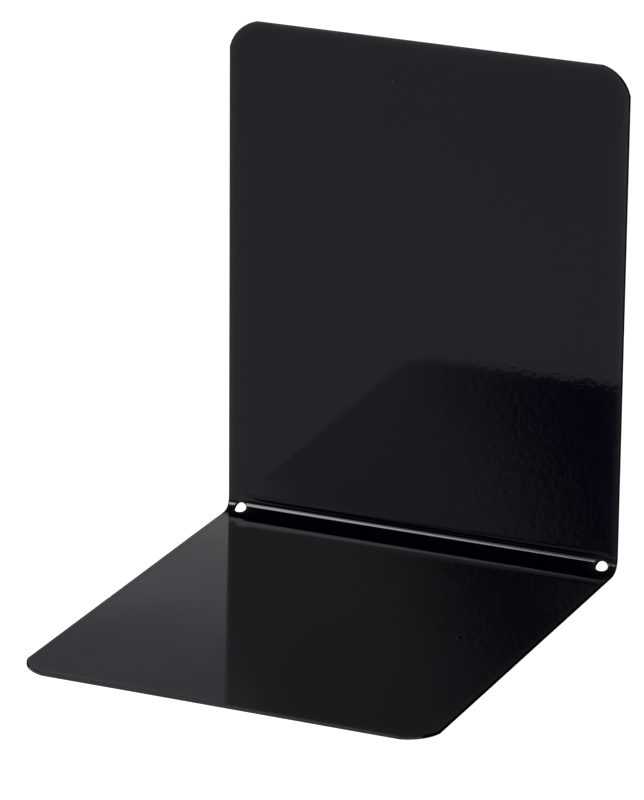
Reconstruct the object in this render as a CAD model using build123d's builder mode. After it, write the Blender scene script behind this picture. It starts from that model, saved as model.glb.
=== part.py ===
from build123d import *
import os
from math import cos, radians, sin, tan

# Book end: one sheet of steel folded into an L, standing on four stick-on pads.
#
# Frame, in millimetres: +Z is up and z = 0 is the surface that the pads stand on. The base reaches
# forward to -Y and the upright stands at +Y. The origin is under the middle of the whole object.

# Driving dimensions, in millimetres
WIDTH = 120.0  # along X, the same for the base and the upright
DEPTH = 140.0  # along Y, from the base's front edge to the back of the bend
SHEET_HEIGHT = 148.0  # along Z, from the underside of the base to the top edge
SHEET = 1.0  # thickness of the steel with its enamel
BEND_RADIUS = 3.8  # inside the fold
FOLD_ANGLE = 89.0  # degrees between base and upright: a little closed, so that it leans on the books
CORNER_RADIUS = 11.0  # of the punch that rounds the four free corners
CORNER_REACH = 8.2  # of each corner cut along its two edges: it leaves a faint point at both ends
EDGE_ROUNDING = 0.25  # of the deburred and enamelled arrises
HOLE_DIAMETER = 3.5  # two holes through the bend, by which the blank hangs while it is enamelled
HOLE_FROM_SIDE = 4.2  # from each hole's axis to the nearer side edge
PAD_DIAMETER = 12.0
PAD_THICKNESS = 1.0
PAD_INSET = 13.0  # from each pad's axis to the edges of the base

# Places that follow from them
lean = radians(90.0 - FOLD_ANGLE)
half_width = WIDTH / 2
base_top = PAD_THICKNESS + SHEET
total_height = PAD_THICKNESS + SHEET_HEIGHT
bend_axis_y = DEPTH / 2 - SHEET - BEND_RADIUS
bend_axis_z = base_top + BEND_RADIUS
tangent_length = BEND_RADIUS / tan(radians(FOLD_ANGLE) / 2)
corner_y = bend_axis_y + tangent_length
upright_length = (total_height - SHEET * sin(lean) - base_top) / cos(lean)
top_y = corner_y - upright_length * sin(lean)
top_z = base_top + upright_length * cos(lean)

# Planes at the middle of each free edge: local X runs along the edge and local Y points off the sheet
front_edge = Plane(origin=(0, -DEPTH / 2, base_top), x_dir=(1, 0, 0), z_dir=(0, 0, -1))
top_edge = Plane(origin=(0, top_y, top_z), x_dir=(1, 0, 0), z_dir=(0, -cos(lean), -sin(lean)))

# Plane across the middle of the bend, square to the line that the holes follow
bend_middle = Plane(
    origin=(0, bend_axis_y, bend_axis_z),
    x_dir=(1, 0, 0),
    z_dir=(0, cos(lean), sin(lean) - 1),
)

os.makedirs("parts", exist_ok=True)

# The folded sheet: its section is drawn along the faces that touch the books and given its thickness
# on the other side, and runs the full width
with BuildPart() as sheet:
    with BuildSketch(Plane.YZ) as section:
        with BuildLine() as book_side:
            FilletPolyline((-DEPTH / 2, base_top), (corner_y, base_top), (top_y, top_z), radius=BEND_RADIUS)
            offset(amount=SHEET, side=Side.RIGHT)
        make_face()
    extrude(amount=half_width, both=True)

    # The punch takes a scrap off both ends of each free edge
    with BuildSketch(front_edge, top_edge) as corner_scraps:
        with BuildLine() as scrap_outline:
            inner = half_width - CORNER_REACH
            outer = half_width + SHEET
            punched = RadiusArc((inner, 0), (half_width, -CORNER_REACH), CORNER_RADIUS)
            Polyline(punched @ 1, (outer, -CORNER_REACH), (outer, SHEET), (inner, SHEET), punched @ 0)
        make_face()
        mirror(about=Plane.YZ)
    extrude(amount=2 * SHEET, both=True, mode=Mode.SUBTRACT)

    # Every arris of the outline is rounded, which leaves out the four lines where the bend begins
    bend_lines = sheet.edges().filter_by(Axis.X).group_by(SortBy.LENGTH)[-1]
    through_thickness = sheet.edges().filter_by(lambda edge: edge.length < 1.5 * SHEET)
    fillet(sheet.edges() - bend_lines - through_thickness, EDGE_ROUNDING)

    # The hanging holes, one at each end of the bend
    with BuildSketch(bend_middle) as hanging_holes:
        with GridLocations(WIDTH - 2 * HOLE_FROM_SIDE, 1, 2, 1):
            Circle(HOLE_DIAMETER / 2)
    extrude(amount=2 * BEND_RADIUS, mode=Mode.SUBTRACT)
sheet.part.label = "folded_steel_sheet"
export_step(sheet.part, "parts/folded_steel_sheet.step")

# The pads: discs die-cut from thin foam, stuck under the corners of the base
pad_x = half_width - PAD_INSET
pad_y = DEPTH / 2 - PAD_INSET
pad_places = {
    "pad_front_left": (-pad_x, -pad_y),
    "pad_front_right": (pad_x, -pad_y),
    "pad_rear_left": (-pad_x, pad_y),
    "pad_rear_right": (pad_x, pad_y),
}
for pad_name, pad_place in pad_places.items():
    with BuildPart() as pad:
        with BuildSketch(Plane.XY):
            with Locations(pad_place):
                Circle(PAD_DIAMETER / 2)
        extrude(amount=PAD_THICKNESS)
    pad.part.label = pad_name
    export_step(pad.part, f"parts/{pad_name}.step")
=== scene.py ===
from math import cos, pi, radians, sin, sqrt, tan

import bpy
import numpy as np
from mathutils import Matrix, Vector
from mathutils.geometry import delaunay_2d_cdt


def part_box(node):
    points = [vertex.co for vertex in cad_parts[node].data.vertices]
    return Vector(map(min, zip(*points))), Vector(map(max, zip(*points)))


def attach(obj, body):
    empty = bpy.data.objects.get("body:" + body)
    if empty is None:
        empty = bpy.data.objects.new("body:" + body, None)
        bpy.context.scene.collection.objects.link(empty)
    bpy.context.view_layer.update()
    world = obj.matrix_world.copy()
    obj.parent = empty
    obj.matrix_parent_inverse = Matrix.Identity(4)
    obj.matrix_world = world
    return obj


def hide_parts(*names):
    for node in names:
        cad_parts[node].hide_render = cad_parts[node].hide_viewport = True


# Looks of the book end, in metres, in the same frame as the CAD: +Z is up and the books stand
# toward -Y of the upright, on the base.

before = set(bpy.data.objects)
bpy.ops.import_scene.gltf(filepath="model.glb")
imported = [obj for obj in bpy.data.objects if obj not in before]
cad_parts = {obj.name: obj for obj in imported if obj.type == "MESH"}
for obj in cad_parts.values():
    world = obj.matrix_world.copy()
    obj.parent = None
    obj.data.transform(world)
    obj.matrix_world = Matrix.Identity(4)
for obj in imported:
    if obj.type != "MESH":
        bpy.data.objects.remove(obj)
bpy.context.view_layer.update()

# ---------------------------------------------------------------- sizes of the folded sheet
MM = 0.001
SHEET = 1.0 * MM
BEND_RADIUS = 3.8 * MM
FOLD_ANGLE = 89.0
CORNER_RADIUS = 11.0 * MM
CORNER_REACH = 8.2 * MM
ARRIS = 0.25 * MM
HOLE_RADIUS = 1.75 * MM
HOLE_FROM_SIDE = 4.2 * MM
BEND_LENGTH = 11.8 * MM  # of the sheet's middle, over which a real press spreads the same bend
BEND_SAMPLES = 801

sheet_low, sheet_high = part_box("folded_steel_sheet")
half_width = sheet_high.x
lean = radians(90 - FOLD_ANGLE)
turn = pi / 2 + lean
base_top = sheet_low.z + SHEET
corner_y = sheet_high.y - SHEET - BEND_RADIUS + BEND_RADIUS / tan(radians(FOLD_ANGLE) / 2)


# ---------------------------------------------------------------- camera
CAMERA_AZIMUTH = radians(23.17)
CAMERA_ELEVATION = radians(18.81)
CAMERA_ROLL = radians(0.89)
CAMERA_DISTANCE = 1.4693
CAMERA_TARGET = Vector((-0.0015, 0.0, 0.0649))
CAMERA_LENS = 243.96
SENSOR = 36.0


def make_camera():
    """A long lens, aimed from the right and above at the book side."""
    out = Vector((
        sin(CAMERA_AZIMUTH) * cos(CAMERA_ELEVATION),
        -cos(CAMERA_AZIMUTH) * cos(CAMERA_ELEVATION),
        sin(CAMERA_ELEVATION),
    ))
    level = Vector((cos(CAMERA_AZIMUTH), sin(CAMERA_AZIMUTH), 0.0))
    above = out.cross(level)
    right = cos(CAMERA_ROLL) * level + sin(CAMERA_ROLL) * above
    up = cos(CAMERA_ROLL) * above - sin(CAMERA_ROLL) * level
    turned = Matrix((right, up, out)).transposed().to_4x4()
    data = bpy.data.cameras.new("camera")
    data.lens = CAMERA_LENS
    data.sensor_fit = "VERTICAL"
    data.sensor_height = SENSOR
    data.sensor_width = SENSOR
    data.clip_end = 100.0
    camera = bpy.data.objects.new("camera", data)
    camera.matrix_world = Matrix.Translation(CAMERA_TARGET + CAMERA_DISTANCE * out) @ turned
    bpy.context.scene.collection.objects.link(camera)
    bpy.context.scene.camera = camera


make_camera()


# ---------------------------------------------------------------- the bend's cross-section
# The blank is described by x and s: s runs along the middle of the sheet's thickness, from 0 at the
# middle of the bend, negative over the base and positive up the upright.
def bend_table():
    """The middle line of the bend: s, y, z and the angle turned. The curvature swells and fades."""
    s = np.linspace(-BEND_LENGTH / 2, BEND_LENGTH / 2, BEND_SAMPLES)
    share = s / BEND_LENGTH
    angle = turn * (share + 0.5 + np.sin(2 * pi * share) / (2 * pi))
    middle = (angle[1:] + angle[:-1]) / 2
    step = s[1] - s[0]
    y = np.concatenate(([0.0], np.cumsum(np.cos(middle) * step)))
    z = np.concatenate(([0.0], np.cumsum(np.sin(middle) * step)))
    # where the two straight middle lines would meet
    meet_y = y[-1] - z[-1] / tan(turn)
    target_y = corner_y + SHEET / 2 * (1 + sin(lean)) / cos(lean)
    return s, y - meet_y + target_y, z + base_top - SHEET / 2, angle


BEND_S, BEND_Y, BEND_Z, BEND_ANGLE = bend_table()
s_front = BEND_S[0] - (BEND_Y[0] - sheet_low.y)
s_top = BEND_S[-1] + (sheet_high.z - BEND_Z[-1] - SHEET / 2 * sin(lean)) / cos(lean)

# The narrow strip between each hole and the side edge is pushed out as the sheet folds
STRIP_PUSH = 0.3 * MM
STRIP_START = half_width - 7.0 * MM
STRIP_FULL = half_width - 2.0 * MM
STRIP_SPREAD = 9.0 * MM
push_direction = np.array([0.0, sin(turn / 2), -cos(turn / 2)])


def smooth(value):
    """0 to 1, level at both ends."""
    value = np.clip(value, 0.0, 1.0)
    return value * value * (3 - 2 * value)


def folded(x, s, depth):
    """Places points of the blank. depth is measured from the face that touches the books."""
    angle = np.interp(s, BEND_S, BEND_ANGLE)
    before = np.minimum(s - BEND_S[0], 0.0)
    after = np.maximum(s - BEND_S[-1], 0.0)
    y = np.interp(s, BEND_S, BEND_Y) + before + after * cos(turn)
    z = np.interp(s, BEND_S, BEND_Z) + after * sin(turn)
    lift = SHEET / 2 - depth
    placed = np.stack([x, y - lift * np.sin(angle), z + lift * np.cos(angle)], axis=-1)
    near_strip = smooth((np.abs(x) - STRIP_START) / (STRIP_FULL - STRIP_START))
    near_fold = smooth(1 - np.abs(s) / (STRIP_SPREAD / 2))
    return placed + (STRIP_PUSH * near_strip * near_fold)[..., None] * push_direction


# ---------------------------------------------------------------- relief of the enamel
EDGE_BEAD = 0.005 * MM  # the enamel gathers a little way in from every edge
EDGE_BEAD_AT = 0.9 * MM
EDGE_BEAD_WIDTH = 0.55 * MM
HOLE_BEAD = 0.02 * MM
HOLE_BEAD_AT = 0.63 * MM
RIM_FADE = 1.0 * MM  # how far in from an edge its thinner, duller enamel and its greyer colour, partly a painted highlight, fade out
SHEET_WAVE = 0.012 * MM  # how flat rolled sheet really is
WAVE_START = 6.0 * MM  # the bend holds the sheet true, and the waves grow away from it
WAVE_GROWTH = 20.0 * MM
WAVES = (  # length along x and along s in mm, phase and share
    (83.0, 190.0, 0.7, 1.0),
    (-260.0, 71.0, 2.1, 0.8),
    (47.0, -118.0, 4.0, 0.4),
)
NORMAL_STEP = 0.02 * MM  # reach of the differences that give directions on the sheet
arc_centre = sqrt(CORNER_RADIUS**2 - CORNER_REACH**2 / 2) / sqrt(2) + CORNER_REACH / 2
hole_centres = [(side * (half_width - HOLE_FROM_SIDE), 0.0) for side in (-1, 1)]

# Specks of dust under the enamel, in mm: x, s, radius and height
NIBS = (
    (-9.6, 134.2, 0.95, 0.22),
    (39.3, -66.8, 0.90, 0.20),
    (-38.0, 71.0, 0.30, 0.03),
    (41.0, 96.0, 0.28, 0.03),
    (-20.0, -101.0, 0.30, 0.03),
)


def edge_distance(x, s):
    """How far inside the outline each point of the blank is."""
    inside = np.minimum(half_width - np.abs(x), np.minimum(s - s_front, s_top - s))
    for end, sign in ((s_front, 1), (s_top, -1)):
        across = np.abs(x) - (half_width - arc_centre)
        along = (end + sign * arc_centre - s) * sign
        corner = CORNER_RADIUS - np.hypot(across, along)
        inside = np.where((across > 0) & (along > 0), np.minimum(inside, corner), inside)
    return inside


def hole_distance(x, s):
    """How far each point of the blank is from the nearer hole's wall."""
    return np.minimum(*[np.hypot(x - cx, s - cs) for cx, cs in hole_centres]) - HOLE_RADIUS


def relief(x, s):
    """How much the enamelled surface stands above a perfectly flat sheet."""
    at_edge = (edge_distance(x, s) - EDGE_BEAD_AT) / EDGE_BEAD_WIDTH
    at_hole = (hole_distance(x, s) - HOLE_BEAD_AT) / EDGE_BEAD_WIDTH
    height = EDGE_BEAD * np.exp(-at_edge**2) + HOLE_BEAD * np.exp(-at_hole**2)
    for nib_x, nib_s, radius, rise in NIBS:
        away = np.hypot(x - nib_x * MM, s - nib_s * MM) / (radius * MM / 2)
        height = height + rise * MM * np.exp(-away**2)
    return height


def waviness(x, s):
    """The same small wave on both faces, so that long reflections are not ruler-straight."""
    wave = sum(
        share * np.sin(2 * pi * (x / (along_x * MM) + s / (along_s * MM)) + phase)
        for along_x, along_s, phase, share in WAVES
    )
    return SHEET_WAVE * wave * smooth((np.abs(s) - WAVE_START) / WAVE_GROWTH)


def face_point(x, s, back):
    """A point of the enamelled face on the book side, or on the back."""
    bump = relief(x, s)
    wave = waviness(x, s)
    depth = SHEET + bump - wave if back else -bump - wave
    return folded(x, s, depth)


def face_normal(x, s, back):
    """The direction that the face looks in at each point, from small differences."""
    along_x = face_point(x + NORMAL_STEP, s, back) - face_point(x - NORMAL_STEP, s, back)
    along_s = face_point(x, s + NORMAL_STEP, back) - face_point(x, s - NORMAL_STEP, back)
    normal = np.cross(along_x, along_s)
    normal /= np.linalg.norm(normal, axis=-1, keepdims=True)
    return -normal if back else normal


# ---------------------------------------------------------------- the blank's mesh in x and s
def spaced(start, stop, step):
    """Even steps from start to stop, both included."""
    return np.linspace(start, stop, max(2, int(round(abs(stop - start) / step)) + 1))


GRID = 3.0 * MM
ARC_STEP = 0.5 * MM
BEND_ROWS = 44
BEND_MARGIN = 1.5 * MM  # of flat sheet on each side of the bend that shares its fine rows
EDGE_RINGS = (0.45, 0.7, 0.95, 1.25, 1.7, 2.4)  # mm in from the outline
HOLE_RINGS = (0.4, 0.6, 0.85, 1.15, 1.6)  # mm out from a hole's wall
RING_TO_HOLE = 0.6 * MM
RING_TO_EDGE = 0.35 * MM
GRID_TO_EDGE = 3.0 * MM
GRID_TO_HOLE = 1.9 * MM
GRID_TO_NIB = 1.8 * MM
NIB_RINGS = 7
NIB_RING_POINTS = 14
SLIVER = 0.01 * MM
HOLE_POINTS = 72
MERGE_MM = 1e-5  # points closer than this become one
RIM_STEPS = 5
SIDE_FACING = 0.7  # share of an edge's direction along X above which it is a sheared side
bend_start = BEND_S[0] - BEND_MARGIN
bend_stop = BEND_S[-1] + BEND_MARGIN
rows = np.concatenate((
    spaced(s_front + CORNER_REACH, bend_start, GRID)[:-1],
    spaced(bend_start, bend_stop, (BEND_LENGTH + 2 * BEND_MARGIN) / BEND_ROWS)[:-1],
    spaced(bend_stop, s_top - CORNER_REACH, GRID),
))


def corner_arc(side, end, sign):
    """The punched arc at one corner, from the free edge to the side edge."""
    inner = half_width - arc_centre
    first = np.arcsin((half_width - CORNER_REACH - inner) / CORNER_RADIUS)
    angles = spaced(first, pi / 2 - first, ARC_STEP / CORNER_RADIUS)
    x = side * (inner + CORNER_RADIUS * np.sin(angles))
    s = end + sign * (arc_centre - CORNER_RADIUS * np.cos(angles))
    return np.stack([x, s], axis=-1)


def outline():
    """The blank's outline, anticlockwise in x and s, from the left end of the front edge."""
    flat = spaced(-(half_width - CORNER_REACH), half_width - CORNER_REACH, GRID)[1:-1]
    front = np.stack([flat, np.full_like(flat, s_front)], axis=-1)
    top = np.stack([flat[::-1], np.full_like(flat, s_top)], axis=-1)
    right = np.stack([np.full_like(rows[1:-1], half_width), rows[1:-1]], axis=-1)
    left = np.stack([np.full_like(rows[1:-1], -half_width), rows[1:-1][::-1]], axis=-1)
    return np.concatenate((
        front, corner_arc(1, s_front, 1), right, corner_arc(1, s_top, -1)[::-1],
        top, corner_arc(-1, s_top, -1), left, corner_arc(-1, s_front, 1)[::-1],
    ))


def hole_outline(centre):
    """A hole's rim, clockwise, so that the sheet is on the same side as along the outline."""
    angles = -2 * pi * np.arange(HOLE_POINTS) / HOLE_POINTS
    return np.stack([
        centre[0] + HOLE_RADIUS * np.cos(angles),
        centre[1] + HOLE_RADIUS * np.sin(angles),
    ], axis=-1)


def outward(loop):
    """Unit directions off the sheet at each point of a loop."""
    before = loop - np.roll(loop, 1, axis=0)
    after = np.roll(loop, -1, axis=0) - loop
    before /= np.linalg.norm(before, axis=1, keepdims=True)
    after /= np.linalg.norm(after, axis=1, keepdims=True)
    along = before + after
    along /= np.linalg.norm(along, axis=1, keepdims=True)
    return np.stack([along[:, 1], -along[:, 0]], axis=-1)


def inset(loop, distance):
    """The same loop, drawn further in on the sheet."""
    return loop - outward(loop) * distance


def nib_rings():
    """Extra points around each speck, close enough together to carry its shape."""
    points = []
    for nib_x, nib_s, radius, _ in NIBS:
        for ring in range(1, NIB_RINGS + 1):
            reach = ring * radius * MM / 4
            angles = 2 * pi * (np.arange(NIB_RING_POINTS) + 0.5 * (ring % 2)) / NIB_RING_POINTS
            points.append(np.stack([
                nib_x * MM + reach * np.cos(angles),
                nib_s * MM + reach * np.sin(angles),
            ], axis=-1))
    return np.concatenate(points)


def blank_mesh(loops):
    """Triangles over the blank inside the given loops: points, triangles and each loop's indices."""
    points = [inset(loop, ARRIS) for loop in loops]
    sizes = [len(loop) for loop in loops]
    edges = []
    loop_indices = []
    first = 0
    for size in sizes:
        indices = np.arange(first, first + size)
        edges += list(zip(indices.tolist(), np.roll(indices, -1).tolist()))
        loop_indices.append(indices)
        first += size
    # rings that follow the edges, then a grid over the rest
    for distance in EDGE_RINGS:
        ring = inset(loops[0], distance * MM)
        points.append(ring[hole_distance(*ring.T) > RING_TO_HOLE])
    for loop in loops[1:]:
        for distance in HOLE_RINGS:
            ring = inset(loop, distance * MM)
            points.append(ring[edge_distance(*ring.T) > max(RING_TO_EDGE, distance * MM)])
    columns = spaced(-half_width, half_width, GRID)[1:-1]
    all_rows = np.concatenate((
        spaced(s_front, rows[0], GRID)[1:-1], rows, spaced(rows[-1], s_top, GRID)[1:-1],
    ))
    grid = np.stack(np.meshgrid(columns, all_rows), axis=-1).reshape(-1, 2)
    away_from_nibs = np.min([
        np.hypot(grid[:, 0] - nib[0] * MM, grid[:, 1] - nib[1] * MM) for nib in NIBS
    ], axis=0)
    keep = (edge_distance(*grid.T) > GRID_TO_EDGE) & (hole_distance(*grid.T) > GRID_TO_HOLE)
    points.append(grid[keep & (away_from_nibs > GRID_TO_NIB)])
    points.append(nib_rings())
    points = np.concatenate(points)
    found = delaunay_2d_cdt([Vector(p / MM) for p in points], edges, [], 0, MERGE_MM)
    placed = np.array([tuple(v) for v in found[0]]) * MM
    triangles = np.array([f for f in found[2] if len(f) == 3])
    new_index = {old: new for new, olds in enumerate(found[3]) for old in olds}
    loop_indices = [np.array([new_index[i] for i in loop]) for loop in loop_indices]
    centre = placed[triangles].mean(axis=1)
    # slivers between points of one straight edge are dropped with what lies outside the blank
    margin = ARRIS + SLIVER
    inside = (edge_distance(*centre.T) > margin) & (hole_distance(*centre.T) > margin)
    return placed, triangles[inside], loop_indices


def rim_profile():
    """How a cut edge rounds from one face to the other: offset off the sheet, depth and angle."""
    angles = np.linspace(0, pi / 2, RIM_STEPS)
    first = [(ARRIS * (sin(a) - 1), ARRIS * (1 - cos(a)), a) for a in angles]
    second = [(offset, SHEET - depth, pi - a) for offset, depth, a in reversed(first)]
    return first + second


def sheet_mesh():
    """The folded sheet as one closed mesh: points, faces, normals, how near each point is to a rim,
    and which faces are sheared side edges or hole walls."""
    loops = [outline()] + [hole_outline(centre) for centre in hole_centres]
    blank, triangles, loop_indices = blank_mesh(loops)
    x, s = blank.T
    count = len(blank)
    positions = [face_point(x, s, False), face_point(x, s, True)]
    normals = [face_normal(x, s, False), face_normal(x, s, True)]
    inside = np.maximum(np.minimum(edge_distance(x, s), hole_distance(x, s)) - ARRIS, 0.0)
    nearness = np.exp(-inside / RIM_FADE)
    rims = [nearness, nearness]
    faces = triangles.tolist() + (triangles[:, ::-1] + count).tolist()
    dull_shaded = [False] * len(faces)
    total = 2 * count
    for number, (loop, on_face) in enumerate(zip(loops, loop_indices)):
        away = outward(loop)
        size = len(loop)
        # sheared sides and hole walls take the dark, glossless enamel: painted shade
        sheared = np.full(size, number > 0) | (np.abs(away[:, 0]) > SIDE_FACING)
        profile = rim_profile()
        front_normal = face_normal(*loop.T, False)
        middle = np.full(size, SHEET / 2)
        off = folded(*(loop + away * NORMAL_STEP).T, middle) - folded(*loop.T, middle)
        off /= np.linalg.norm(off, axis=1, keepdims=True)
        previous = on_face
        for offset, depth, angle in profile[1:-1]:
            line = loop + away * offset
            share = np.clip(-offset / ARRIS, 0, 1)
            lift = relief(*inset(loop, ARRIS).T) * share * (1 if angle < pi / 2 else -1)
            positions.append(folded(*line.T, depth - lift - waviness(*line.T)))
            normals.append(cos(angle) * front_normal + sin(angle) * off)
            rims.append(np.ones(size))
            current = np.arange(total, total + size)
            total += size
            faces += ring_faces(previous, current)
            dull_shaded += sheared.tolist()
            previous = current
        faces += ring_faces(previous, on_face + count)
        dull_shaded += sheared.tolist()
    return np.concatenate(positions), faces, np.concatenate(normals), np.concatenate(rims), dull_shaded


def ring_faces(upper, lower):
    """Quads between two loops of the same length."""
    next_upper = np.roll(upper, -1)
    next_lower = np.roll(lower, -1)
    return np.stack([upper, lower, next_lower, next_upper], axis=-1).tolist()


def make_object(name, positions, faces, normals=None):
    """A smooth-shaded mesh object in the scene."""
    mesh = bpy.data.meshes.new(name)
    mesh.from_pydata([tuple(p) for p in positions], [], faces)
    mesh.validate()
    mesh.polygons.foreach_set("use_smooth", [True] * len(mesh.polygons))
    if normals is not None:
        mesh.normals_split_custom_set_from_vertices([tuple(n) for n in normals])
    thing = bpy.data.objects.new(name, mesh)
    bpy.context.scene.collection.objects.link(thing)
    return thing


sheet_positions, sheet_faces, sheet_normals, sheet_rims, sheet_dull_shaded = sheet_mesh()
sheet = make_object("enamelled_sheet", sheet_positions, sheet_faces, sheet_normals)
rim_attribute = sheet.data.attributes.new("rim", "FLOAT", "POINT")
rim_attribute.data.foreach_set("value", sheet_rims.astype(np.float32))
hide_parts("folded_steel_sheet")
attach(sheet, "root")


# ---------------------------------------------------------------- shader helpers
def new_material(name):
    """A material with its nodes, its links and its main shader."""
    material = bpy.data.materials.new(name)
    material.use_nodes = True
    nodes = material.node_tree.nodes
    return material, nodes, material.node_tree.links, nodes["Principled BSDF"]


def noise(nodes, links, vector, scale, detail):
    """Smooth noise from 0 to 1, with scale bumps to the metre."""
    node = nodes.new("ShaderNodeTexNoise")
    node.inputs["Scale"].default_value = scale
    node.inputs["Detail"].default_value = detail
    links.new(vector, node.inputs["Vector"])
    return node.outputs["Fac"]


def ramp(nodes, links, value, stops):
    """A colour for each value, between stops of a position and a colour."""
    node = nodes.new("ShaderNodeValToRGB")
    first, last = node.color_ramp.elements
    first.position, first.color = stops[0][0], (*stops[0][1], 1.0)
    last.position, last.color = stops[-1][0], (*stops[-1][1], 1.0)
    for position, colour in stops[1:-1]:
        node.color_ramp.elements.new(position).color = (*colour, 1.0)
    links.new(value, node.inputs["Fac"])
    return node.outputs["Color"]


def spread(nodes, links, value, low, high, start=0.0, stop=1.0, shape="LINEAR"):
    """Maps a value from start..stop to low..high, and holds it there beyond."""
    node = nodes.new("ShaderNodeMapRange")
    node.interpolation_type = shape
    node.inputs["From Min"].default_value = start
    node.inputs["From Max"].default_value = stop
    node.inputs["To Min"].default_value = low
    node.inputs["To Max"].default_value = high
    links.new(value, node.inputs["Value"])
    return node.outputs["Result"]


def calculate(nodes, links, operation, *terms):
    """One step of arithmetic. Each term is a number or another node's output."""
    node = nodes.new("ShaderNodeMath")
    node.operation = operation
    for socket, term in zip(node.inputs, terms):
        if isinstance(term, float):
            socket.default_value = term
        else:
            links.new(term, socket)
    return node.outputs["Value"]


def bump(nodes, links, height, distance, before=None):
    """Fine relief, on top of any relief given before it."""
    node = nodes.new("ShaderNodeBump")
    node.inputs["Distance"].default_value = distance
    links.new(height, node.inputs["Height"])
    if before is not None:
        links.new(before, node.inputs["Normal"])
    return node.outputs["Normal"]


# ---------------------------------------------------------------- gloss black enamel
PEEL_HEIGHT = 0.012 * MM
FLOW_HEIGHT = 0.004 * MM
PEEL_THIN = 0.1  # share of the peel's height on the thinly coated side
PEEL_THICK = 1.15
PEEL_GROWS_FROM = -15.0 * MM  # along X
PEEL_GROWS_TO = 35.0 * MM
EDGE_GREY_AND_SHEEN = 0.85  # how much of the greyer edge colour, partly a painted highlight along the edge, shows at a rim
CUT_EDGE_POWER = 8.0  # keeps the duller gloss to the rim itself
CUT_EDGE_ROUGHNESS = 0.30


def enamel():
    """Gloss black with orange peel, duller where it thins at the rims, and greyer there: partly the
    thinner coat, partly a painted highlight along every edge.
    """
    material, nodes, links, shader = new_material("black_enamel")
    place = nodes.new("ShaderNodeTexCoord").outputs["Object"]
    peel = noise(nodes, links, place, scale=560.0, detail=2.0)
    flow = noise(nodes, links, place, scale=140.0, detail=1.0)
    cloud = noise(nodes, links, place, scale=28.0, detail=3.0)
    rim_node = nodes.new("ShaderNodeAttribute")
    rim_node.attribute_name = "rim"
    rim = rim_node.outputs["Fac"]

    flat_colour = ramp(nodes, links, cloud, (
        (0.3, (0.0003, 0.0004, 0.0030)), (0.7, (0.0005, 0.0006, 0.0036)),
    ))
    # a greyer, warmer colour near every edge: partly the thinner coat, partly a painted highlight for
    # the light lines along the edges
    edge_grey_and_sheen = ramp(nodes, links, peel, (
        (0.35, (0.013, 0.0125, 0.0125)), (0.7, (0.020, 0.018, 0.017)),
    ))
    mixed = nodes.new("ShaderNodeMix")
    mixed.data_type = "RGBA"
    links.new(spread(nodes, links, rim, 0.0, EDGE_GREY_AND_SHEEN), mixed.inputs["Factor"])
    links.new(flat_colour, mixed.inputs["A"])
    links.new(edge_grey_and_sheen, mixed.inputs["B"])
    links.new(mixed.outputs["Result"], shader.inputs["Base Color"])

    cut_edge = calculate(nodes, links, "POWER", rim, CUT_EDGE_POWER)
    gloss = spread(nodes, links, cloud, low=0.04, high=0.08)
    dulled = calculate(nodes, links, "MULTIPLY_ADD", cut_edge, CUT_EDGE_ROUGHNESS, gloss)
    links.new(dulled, shader.inputs["Roughness"])
    shader.inputs["IOR"].default_value = 1.5
    shader.inputs["Specular IOR Level"].default_value = 0.16

    # the blank hung on its side to dry, so the peel is coarser toward +X where the coat is thicker
    across = nodes.new("ShaderNodeSeparateXYZ")
    links.new(place, across.inputs[0])
    thicker = spread(
        nodes, links, across.outputs["X"],
        PEEL_THIN, PEEL_THICK, PEEL_GROWS_FROM, PEEL_GROWS_TO, "SMOOTHSTEP",
    )
    coat = calculate(nodes, links, "MULTIPLY", peel, thicker)
    long_wave = bump(nodes, links, flow, FLOW_HEIGHT)
    links.new(bump(nodes, links, coat, PEEL_HEIGHT, long_wave), shader.inputs["Normal"])
    return material


def shaded_thin_enamel():
    """The duller coat on the sheared side edges and in the holes, where enamel draws back. It has no
    gloss and is darker than the rims: painted shade for the shadowed floor these faces would reflect.
    """
    material, nodes, links, shader = new_material("shaded_thin_enamel")
    place = nodes.new("ShaderNodeTexCoord").outputs["Object"]
    grain = noise(nodes, links, place, scale=1800.0, detail=3.0)
    colour = ramp(nodes, links, grain, (
        (0.3, (0.0010, 0.0010, 0.0014)), (0.7, (0.0035, 0.0032, 0.0034)),
    ))
    links.new(colour, shader.inputs["Base Color"])
    links.new(spread(nodes, links, grain, low=0.38, high=0.55), shader.inputs["Roughness"])
    shader.inputs["IOR"].default_value = 1.5
    shader.inputs["Specular IOR Level"].default_value = 0.0
    links.new(bump(nodes, links, grain, 0.01 * MM), shader.inputs["Normal"])
    return material


sheet.data.materials.append(enamel())
sheet.data.materials.append(shaded_thin_enamel())
# the sheared sides and hole walls get the dark, glossless enamel, painted shade for the shadow they
# would reflect
sheet.data.polygons.foreach_set("material_index", [int(flag) for flag in sheet_dull_shaded])

# ---------------------------------------------------------------- pads
PAD_NODES = ("pad_front_left", "pad_front_right", "pad_rear_left", "pad_rear_right")
PAD_SEGMENTS = 72
FOAM_SLOT = 0
FILM_SLOT = 1
FILM = 0.08 * MM  # the adhesive film between foam and enamel
FILM_MARGIN = 0.03 * MM  # by which the film stands out past the foam
FILM_RINGS = (0.5, 0.9)  # shares of the radius
FOAM_INSET = 0.08 * MM
FOAM_BULGE = 0.10 * MM
FOAM_SIDE_STEPS = 9
FOAM_ARRIS = 0.16 * MM
FOAM_ARRIS_STEPS = 5
PAD_WOBBLE = 0.03 * MM  # how far from round the die cuts
SOLE_PITS = 0.03 * MM
SOLE_RINGS = (0.93, 0.85, 0.76, 0.66, 0.55, 0.43, 0.3, 0.15)  # shares of the radius


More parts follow.
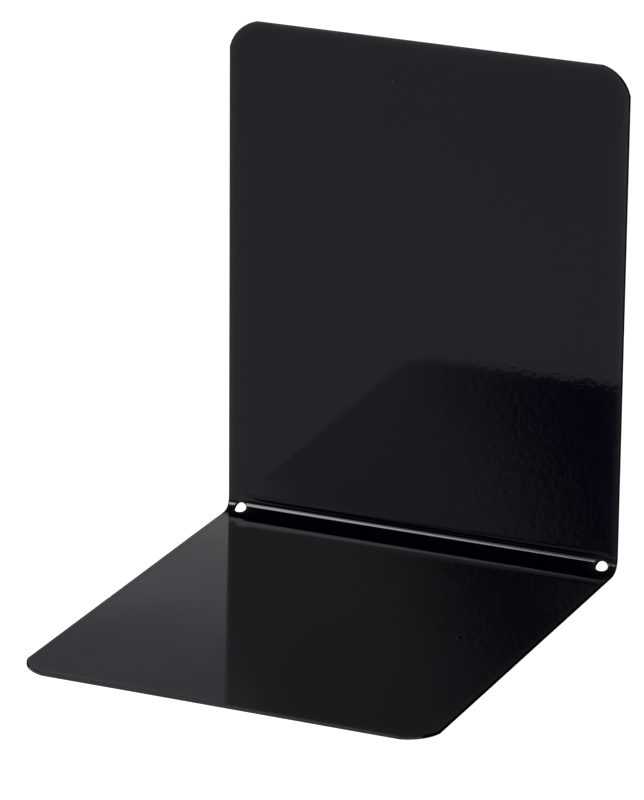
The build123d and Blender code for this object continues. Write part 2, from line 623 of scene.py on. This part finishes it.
def pad_profile(radius, top, sole):
    """Reach and height of each ring, from the film's top to the middle of the sole."""
    foam_top = top - FILM
    film = [(radius * share, top) for share in FILM_RINGS]
    film += [(radius + FILM_MARGIN, top), (radius + FILM_MARGIN, foam_top)]
    foam_radius = radius - FOAM_INSET
    drop = foam_top - sole - FOAM_ARRIS
    side = [
        (foam_radius + FOAM_BULGE * sin(pi * share), foam_top - drop * share)
        for share in np.linspace(0, 1, FOAM_SIDE_STEPS)
    ]
    arris = [
        (foam_radius - FOAM_ARRIS * (1 - cos(angle)), sole + FOAM_ARRIS * (1 - sin(angle)))
        for angle in np.linspace(0, pi / 2, FOAM_ARRIS_STEPS)[1:]
    ]
    pitted = [(radius * share, sole) for share in SOLE_RINGS]
    return film + side + arris + pitted, len(film)


def neighbours(ring):
    """Each point of a closed ring with the next one."""
    return zip(ring.tolist(), np.roll(ring, -1).tolist())


def pad_mesh(low, high, seed):
    """A die-cut foam disc: sides bulged by its own weight, a soft lower arris and a pitted sole."""
    draw = np.random.default_rng(seed)
    centre_x, centre_y, _ = (low + high) / 2
    radius = (high.x - low.x) / 2
    profile, film_rings = pad_profile(radius, high.z, low.z)
    angles = 2 * pi * np.arange(PAD_SEGMENTS) / PAD_SEGMENTS
    three, seven = draw.uniform(0, 2 * pi, 2)
    wobble = PAD_WOBBLE * (np.sin(3 * angles + three) + 0.6 * np.sin(7 * angles + seven))
    rings = []
    for reach, height in profile:
        grown = reach + wobble * reach / radius
        heights = np.full(PAD_SEGMENTS, height)
        if height == low.z:
            heights += draw.uniform(0, SOLE_PITS, PAD_SEGMENTS)
        rings.append(np.stack([
            centre_x + grown * np.cos(angles), centre_y + grown * np.sin(angles), heights,
        ], axis=-1))
    poles = np.array([(centre_x, centre_y, high.z), (centre_x, centre_y, low.z)])
    indices = np.arange(len(rings) * PAD_SEGMENTS).reshape(len(rings), PAD_SEGMENTS)
    top_pole = indices.size
    sole_pole = top_pole + 1
    faces = [[top_pole, one, two] for one, two in neighbours(indices[0])]
    for upper, lower in zip(indices, indices[1:]):
        faces += ring_faces(upper, lower)
    faces += [[one, sole_pole, two] for one, two in neighbours(indices[-1])]
    film_faces = (film_rings + 1) * PAD_SEGMENTS
    slots = [FILM_SLOT if row < film_faces else FOAM_SLOT for row in range(len(faces))]
    return np.concatenate(rings + [poles]), faces, slots


def foam():
    """Dark, matt and pitted with cells."""
    material, nodes, links, shader = new_material("pad_foam")
    place = nodes.new("ShaderNodeTexCoord").outputs["Object"]
    cells = nodes.new("ShaderNodeTexVoronoi")
    cells.inputs["Scale"].default_value = 4200.0
    links.new(place, cells.inputs["Vector"])
    mottle = noise(nodes, links, place, scale=900.0, detail=3.0)
    colour = ramp(nodes, links, mottle, ((0.3, (0.010, 0.010, 0.011)), (0.75, (0.032, 0.032, 0.034))))
    links.new(colour, shader.inputs["Base Color"])
    links.new(spread(nodes, links, mottle, low=0.75, high=0.95), shader.inputs["Roughness"])
    shader.inputs["Specular IOR Level"].default_value = 0.3
    rough = bump(nodes, links, mottle, 0.05 * MM)
    links.new(bump(nodes, links, cells.outputs["Distance"], 0.04 * MM, rough), shader.inputs["Normal"])
    return material


def film():
    """Pale brownish adhesive, faintly streaked."""
    material, nodes, links, shader = new_material("adhesive_film")
    place = nodes.new("ShaderNodeTexCoord").outputs["Object"]
    streak = noise(nodes, links, place, scale=1500.0, detail=2.0)
    colour = ramp(nodes, links, streak, ((0.3, (0.42, 0.38, 0.27)), (0.7, (0.58, 0.54, 0.42))))
    links.new(colour, shader.inputs["Base Color"])
    links.new(spread(nodes, links, streak, low=0.3, high=0.5), shader.inputs["Roughness"])
    links.new(bump(nodes, links, streak, 0.01 * MM), shader.inputs["Normal"])
    return material


pad_foam = foam()
pad_film = film()
for seed, node in enumerate(PAD_NODES):
    positions, faces, slots = pad_mesh(*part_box(node), seed)
    pad = make_object("foam_" + node, positions, faces)
    pad.data.materials.append(pad_foam)
    pad.data.materials.append(pad_film)
    pad.data.polygons.foreach_set("material_index", slots)
    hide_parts(node)
    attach(pad, "root")


# ---------------------------------------------------------------- floor, surroundings and lights
FLOOR_REACH = 12.0
GLOW_CENTRE = (-0.20, 0.0, 0.0)
GLOW_REACH = 0.45
GLOW_NEAR = 1.22
GLOW_FAR = 1.02

# Where the white behind starts and is full along Y, and the low strip along X, as parts of a
# direction of length 1
BEHIND_FROM = -0.75
BEHIND_FULL = -0.35
LOW_STRIP_FROM = -0.20
LOW_STRIP_FULL = -0.29
LOW_STRIP_GLOW = 4.2

SOFTBOX_MIDDLE = (-0.91, -1.565, 0.975)
SOFTBOX_TILT = radians(30)
SOFTBOX_ROLL = radians(52)
SOFTBOX_SIZE = 0.87
SOFTBOX_FADE = 0.16
SOFTBOX_SKIRT = ((0.0, 0.0), (0.035, 0.055), (0.10, 0.32), (0.21, 0.32), (0.27, 1.0))
SOFTBOX_BRIGHTNESS = 26.0


def make_floor():
    """A white shooting table lit from below, a little brighter near the left of the object."""
    floor = make_object("floor", square(FLOOR_REACH), [(0, 1, 2, 3)])
    material, nodes, links, shader = new_material("table")
    place = nodes.new("ShaderNodeTexCoord").outputs["Object"]
    tone = noise(nodes, links, place, scale=3.0, detail=2.0)
    colour = ramp(nodes, links, tone, ((0.3, (0.28, 0.28, 0.29)), (0.7, (0.31, 0.31, 0.32))))
    links.new(colour, shader.inputs["Base Color"])
    shader.inputs["Roughness"].default_value = 0.9
    shader.inputs["Specular IOR Level"].default_value = 0.0
    shader.inputs["Emission Color"].default_value = (0.95, 0.98, 1.0, 1.0)
    away = nodes.new("ShaderNodeVectorMath")
    away.operation = "DISTANCE"
    away.inputs[1].default_value = GLOW_CENTRE
    links.new(place, away.inputs[0])
    glow = spread(
        nodes, links, away.outputs["Value"], GLOW_NEAR, GLOW_FAR, 0.0, GLOW_REACH, "SMOOTHSTEP",
    )
    links.new(glow, shader.inputs["Emission Strength"])
    floor.data.materials.append(material)


def square(half):
    """Corners of a level square."""
    return [(-half, -half, 0.0), (half, -half, 0.0), (half, half, 0.0), (-half, half, 0.0)]


def grey(level):
    """The same level of red, green and blue."""
    return (level, level, level)


def make_surroundings():
    """White low down behind the object, fading to a dark ceiling. The room in front is dark, with one
    low pale strip to the left."""
    world = bpy.data.worlds.new("studio")
    bpy.context.scene.world = world
    world.use_nodes = True
    nodes = world.node_tree.nodes
    links = world.node_tree.links
    direction = nodes.new("ShaderNodeSeparateXYZ")
    links.new(nodes.new("ShaderNodeTexCoord").outputs["Generated"], direction.inputs[0])
    along_x, along_y, along_z = direction.outputs

    background = nodes["Background"]
    behind = ramp(nodes, links, along_z, (
        (0.06, (1.02, 1.03, 1.05)),
        (0.20, (1.02, 1.03, 1.05)),
        (0.33, (0.92, 0.95, 0.98)),
        (0.347, (0.68, 0.71, 0.735)),
        (0.362, (0.42, 0.43, 0.465)),
        (0.374, (0.345, 0.355, 0.385)),
        (0.40, (0.19, 0.195, 0.21)),
        (0.46, (0.02, 0.021, 0.024)),
        (0.56, (0.001, 0.001, 0.0012)),
    ))
    back = spread(nodes, links, along_y, 0.0, 1.0, BEHIND_FROM, BEHIND_FULL)
    links.new(behind, background.inputs["Color"])
    links.new(back, background.inputs["Strength"])

    low_strip = nodes.new("ShaderNodeBackground")
    strip = ramp(nodes, links, along_z, (
        (0.22, grey(0.0)), (0.26, grey(1.0)), (0.328, grey(1.0)), (0.340, grey(0.4)), (0.365, grey(0.0)),
    ))
    left = spread(nodes, links, along_x, 0.0, LOW_STRIP_GLOW, LOW_STRIP_FROM, LOW_STRIP_FULL)
    front = calculate(nodes, links, "SUBTRACT", 1.0, back)
    links.new(strip, low_strip.inputs["Color"])
    links.new(calculate(nodes, links, "MULTIPLY", left, front), low_strip.inputs["Strength"])

    both = nodes.new("ShaderNodeAddShader")
    links.new(background.outputs[0], both.inputs[0])
    links.new(low_strip.outputs[0], both.inputs[1])
    links.new(both.outputs[0], nodes["World Output"].inputs["Surface"])


def make_softbox(name):
    """A square softbox that looks toward +Y and down by its tilt, rolled, with three soft edges. The
    skirt says which share of the brightness shows at each distance from its fourth, lowest edge."""
    half = SOFTBOX_SIZE / 2
    box = make_object(name, square(half), [(0, 1, 2, 3)])
    turned = Matrix.Rotation(pi / 2 - SOFTBOX_TILT, 4, "X") @ Matrix.Rotation(SOFTBOX_ROLL, 4, "Z")
    box.matrix_world = Matrix.Translation(SOFTBOX_MIDDLE) @ turned
    material, nodes, links, shader = new_material(name)
    nodes.remove(shader)
    place = nodes.new("ShaderNodeSeparateXYZ")
    links.new(nodes.new("ShaderNodeTexCoord").outputs["Object"], place.inputs[0])
    along_x, along_y, _ = place.outputs

    low_x = spread(nodes, links, along_x, 0.0, 1.0, -half, SOFTBOX_FADE - half)
    high_x = spread(nodes, links, along_x, 0.0, 1.0, half, half - SOFTBOX_FADE)
    high_y = spread(nodes, links, along_y, 0.0, 1.0, half, half - SOFTBOX_FADE)
    skirt = ramp(nodes, links, spread(nodes, links, along_y, 0.0, 1.0, -half, half), tuple(
        (distance / SOFTBOX_SIZE, grey(share)) for distance, share in SOFTBOX_SKIRT
    ))
    level = calculate(nodes, links, "MULTIPLY", low_x, high_x)
    level = calculate(nodes, links, "MULTIPLY", level, high_y)
    level = calculate(nodes, links, "MULTIPLY", level, skirt)
    glow = nodes.new("ShaderNodeEmission")
    glow.inputs["Color"].default_value = (0.97, 0.98, 1.0, 1.0)
    links.new(spread(nodes, links, level, 0.0, SOFTBOX_BRIGHTNESS), glow.inputs["Strength"])
    links.new(glow.outputs["Emission"], nodes["Material Output"].inputs["Surface"])
    box.data.materials.append(material)


make_floor()
make_surroundings()
make_softbox("front_left_softbox")
bpy.context.scene.view_settings.view_transform = "Standard"
